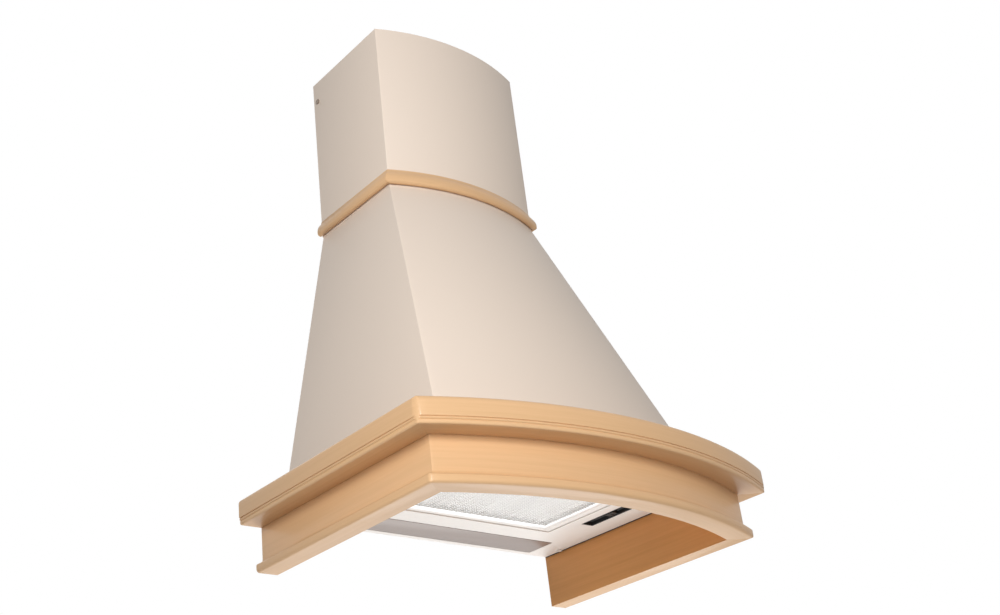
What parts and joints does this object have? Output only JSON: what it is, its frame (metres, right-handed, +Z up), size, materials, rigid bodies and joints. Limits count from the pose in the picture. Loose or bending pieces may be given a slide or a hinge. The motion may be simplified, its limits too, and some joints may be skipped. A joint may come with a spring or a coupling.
{
  "type": "wall range hood cover",
  "caption": "Bow-front wall hood: flared cream sheet canopy and chimney cover, bent wooden cornice, foot and band, drop-down grease filter, lamp lens, slide controls, fan in snail housing.",
  "frame": {"origin": "centre of the four hanging holes, on the wall face of the wall plate", "axes": "+Y into the wall, -Y the front, +Z up, +X to the right of someone facing the hood's front"},
  "size_m": [0.6, 0.454, 0.825],
  "materials": {
    "wood": "lacquered oak, satin",
    "cream_paint": "cream powder coat, semi-gloss",
    "galvanised": "zinc-coated sheet steel",
    "aluminium": "bright expanded mesh and frame",
    "zinc_screw": "zinc-plated",
    "black_plastic": "black, fine grain",
    "grey_plastic": "light grey moulded",
    "motor_metal": "dark grey",
    "capacitor_case": "white",
    "lens_plastic": "ribbed, frosted",
    "bulb_glass": "frosted",
    "holder_porcelain": "white porcelain"
  },
  "bodies": {
    "hood": {"band_front": "wood", "band_left": "wood", "band_right": "wood", "canopy_shell": "cream_paint", "canopy_top_plate": "cream_paint", "capacitor": "capacitor_case", "chimney_bracket": "galvanised", "chimney_cover": "cream_paint", "chimney_screws": "zinc_screw", "control_bezel": "black_plastic", "cornice_front": "wood", "cornice_left": "wood", "cornice_right": "wood", "fan_motor": "motor_metal", "filter_hinge_ears": "zinc_screw", "flap_spindle": "zinc_screw", "frieze_front": "wood", "frieze_left": "wood", "frieze_right": "wood", "lamp_bulbs": "bulb_glass", "lamp_holders": "holder_porcelain", "lamp_housing": "galvanised", "motor_box": "galvanised", "motor_bracket": "galvanised", "outlet_collar": "grey_plastic", "panel_screws": "zinc_screw", "scroll_left": "grey_plastic", "scroll_right": "grey_plastic", "switch_box": "black_plastic", "terminal_box": "grey_plastic", "terminal_lid": "grey_plastic", "tray": "cream_paint", "wall_plate": "galvanised"},
    "filter": {"filter_frame": "aluminium", "filter_grid": "aluminium", "filter_mesh": "aluminium", "filter_pins": "zinc_screw"},
    "latch": {"filter_latch": "grey_plastic"},
    "lens": {"lamp_lens": "lens_plastic"},
    "speed_slider": {"speed_slider": "black_plastic"},
    "light_slider": {"light_slider": "black_plastic"},
    "wheel": {"impeller": "grey_plastic", "motor_shaft": "zinc_screw"},
    "flap_back": {"flap_back": "grey_plastic"},
    "flap_front": {"flap_front": "grey_plastic"}
  },
  "joints": [
    {"name": "filter_hinge", "type": "hinge", "parent": "hood", "child": "filter", "pos_m": [0, -0.115, -0.3495], "axis": [1, 0, 0], "range_deg": [0, 80]},
    {"name": "latch_slide", "type": "slide", "parent": "filter", "child": "latch", "axis": [0, 1, 0], "range_m": [0, 0.005], "stiffness_N_per_m": 400},
    {"name": "lens_hinge", "type": "hinge", "parent": "hood", "child": "lens", "pos_m": [0, -0.016, -0.3505], "axis": [1, 0, 0], "range_deg": [0, 75]},
    {"name": "speed_slide", "type": "slide", "parent": "hood", "child": "speed_slider", "axis": [0, 1, 0], "range_m": [0, 0.024]},
    {"name": "light_slide", "type": "slide", "parent": "hood", "child": "light_slider", "axis": [0, 1, 0], "range_m": [0, 0.008]},
    {"name": "wheel_spin", "type": "hinge", "parent": "hood", "child": "wheel", "pos_m": [0, -0.186, -0.216], "axis": [1, 0, 0], "continuous": true},
    {"name": "flap_back_hinge", "type": "hinge", "parent": "hood", "child": "flap_back", "pos_m": [0, -0.1075, -0.0799], "axis": [1, 0, 0], "range_deg": [0, 75]},
    {"name": "flap_front_hinge", "type": "hinge", "parent": "hood", "child": "flap_front", "pos_m": [0, -0.1075, -0.0799], "axis": [-1, 0, 0], "range_deg": [0, 75]}
  ]
}
